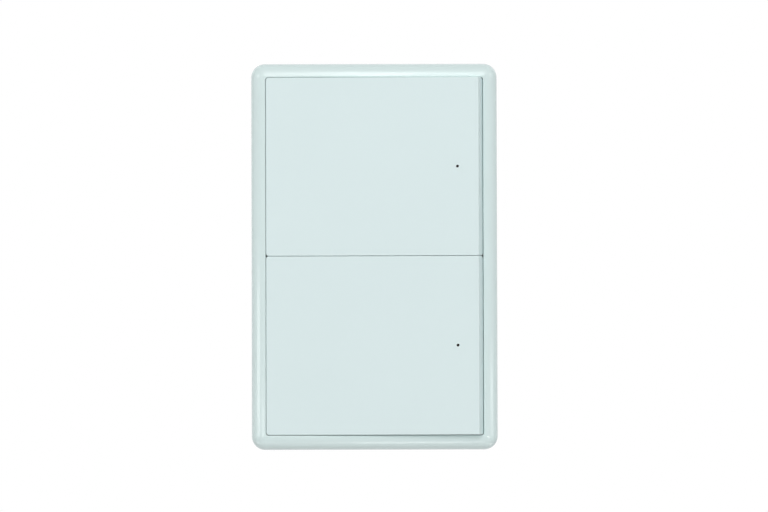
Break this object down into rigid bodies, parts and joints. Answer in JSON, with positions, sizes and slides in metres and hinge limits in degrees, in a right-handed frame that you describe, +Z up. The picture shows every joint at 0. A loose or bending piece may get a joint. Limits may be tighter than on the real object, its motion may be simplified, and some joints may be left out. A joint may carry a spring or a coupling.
{
  "type": "smart light switch",
  "caption": "Two-gang wall switch with wide wedge-shaped keys, a slim rounded frame and a stepped rear box of relays, radio and screw terminals.",
  "frame": {"origin": "on the wall plane, midway between the two wall-box screws, which is also the middle of the plate", "axes": "+Y into the wall, +Z up the wall, +X to the right as seen from the room"},
  "size_m": [0.0764, 0.0434, 0.12],
  "materials": {
    "frame_plastic": "glossy, very pale mint white",
    "key_plastic": "satin, very pale mint white",
    "indicator_lens": "smoked, polished",
    "carrier_plastic": "fine moulded grain",
    "housing_plastic": "spark-eroded moulded grain",
    "strap_steel": "zinc plated",
    "spring_steel": "drawn wire",
    "switch_body": "matt",
    "switch_stem": "smooth",
    "board_laminate": "lacquered",
    "led_resin": "clear resin on a white base",
    "chip_plastic": "matt moulding compound",
    "radio_laminate": "lacquered",
    "shield_tin": "tinned",
    "header_plastic": "matt",
    "relay_case": "smooth",
    "ferrite": "matt, sintered",
    "winding_tape": "polyester tape",
    "capacitor_sleeve": "shrink sleeve",
    "varistor_coat": "dipped resin",
    "fuse_case": "smooth",
    "terminal_plastic": "smooth",
    "clamp_brass": "nickel-free, tumbled",
    "zinc_screw": "zinc plated"
  },
  "bodies": {
    "housing": {"front_frame": "frame_plastic", "carrier_plate": "carrier_plastic", "upper_return_spring": "spring_steel", "lower_return_spring": "spring_steel", "upper_tact_switch": "switch_body", "lower_tact_switch": "switch_body", "control_board": "board_laminate", "power_board": "board_laminate", "upper_led": "led_resin", "lower_led": "led_resin", "control_chip": "chip_plastic", "radio_module": "radio_laminate", "radio_shield": "shield_tin", "board_header": "header_plastic", "left_relay": "relay_case", "right_relay": "relay_case", "transformer_core": "ferrite", "transformer_winding": "winding_tape", "input_capacitor": "capacitor_sleeve", "output_capacitor": "capacitor_sleeve", "varistor": "varistor_coat", "fuse": "fuse_case", "terminal_block": "terminal_plastic", "terminal_clamps": "clamp_brass", "terminal_screws": "zinc_screw", "board_screws": "zinc_screw", "case_screws": "zinc_screw", "rear_housing": "housing_plastic", "mounting_strap": "strap_steel"},
    "upper_key_body": {"upper_key": "key_plastic", "upper_indicator_lens": "indicator_lens"},
    "lower_key_body": {"lower_key": "key_plastic", "lower_indicator_lens": "indicator_lens"},
    "upper_stem_body": {"upper_switch_stem": "switch_stem"},
    "lower_stem_body": {"lower_switch_stem": "switch_stem"}
  },
  "joints": [
    {"name": "upper_key_hinge", "type": "hinge", "parent": "housing", "child": "upper_key_body", "pos_m": [-0.03133, -0.0049, 0.02777], "axis": [0, 0, 1], "range_deg": [0, 0.86], "stiffness_Nm_per_rad": 1.5, "springref_deg": -1.72, "deforming": ["upper_return_spring"]},
    {"name": "lower_key_hinge", "type": "hinge", "parent": "housing", "child": "lower_key_body", "pos_m": [-0.03133, -0.0049, -0.02777], "axis": [0, 0, 1], "range_deg": [0, 0.86], "stiffness_Nm_per_rad": 1.5, "springref_deg": -1.72, "deforming": ["lower_return_spring"]},
    {"name": "upper_stem_slide", "type": "slide", "parent": "housing", "child": "upper_stem_body", "axis": [0, 1, 0], "range_m": [0, 0.0005]},
    {"name": "lower_stem_slide", "type": "slide", "parent": "housing", "child": "lower_stem_body", "axis": [0, 1, 0], "range_m": [0, 0.0005]}
  ],
  "couplings": [
    {"joint": "upper_stem_slide", "follows": "upper_key_hinge", "m_per_rad": 0.0333},
    {"joint": "lower_stem_slide", "follows": "lower_key_hinge", "m_per_rad": 0.0333}
  ]
}
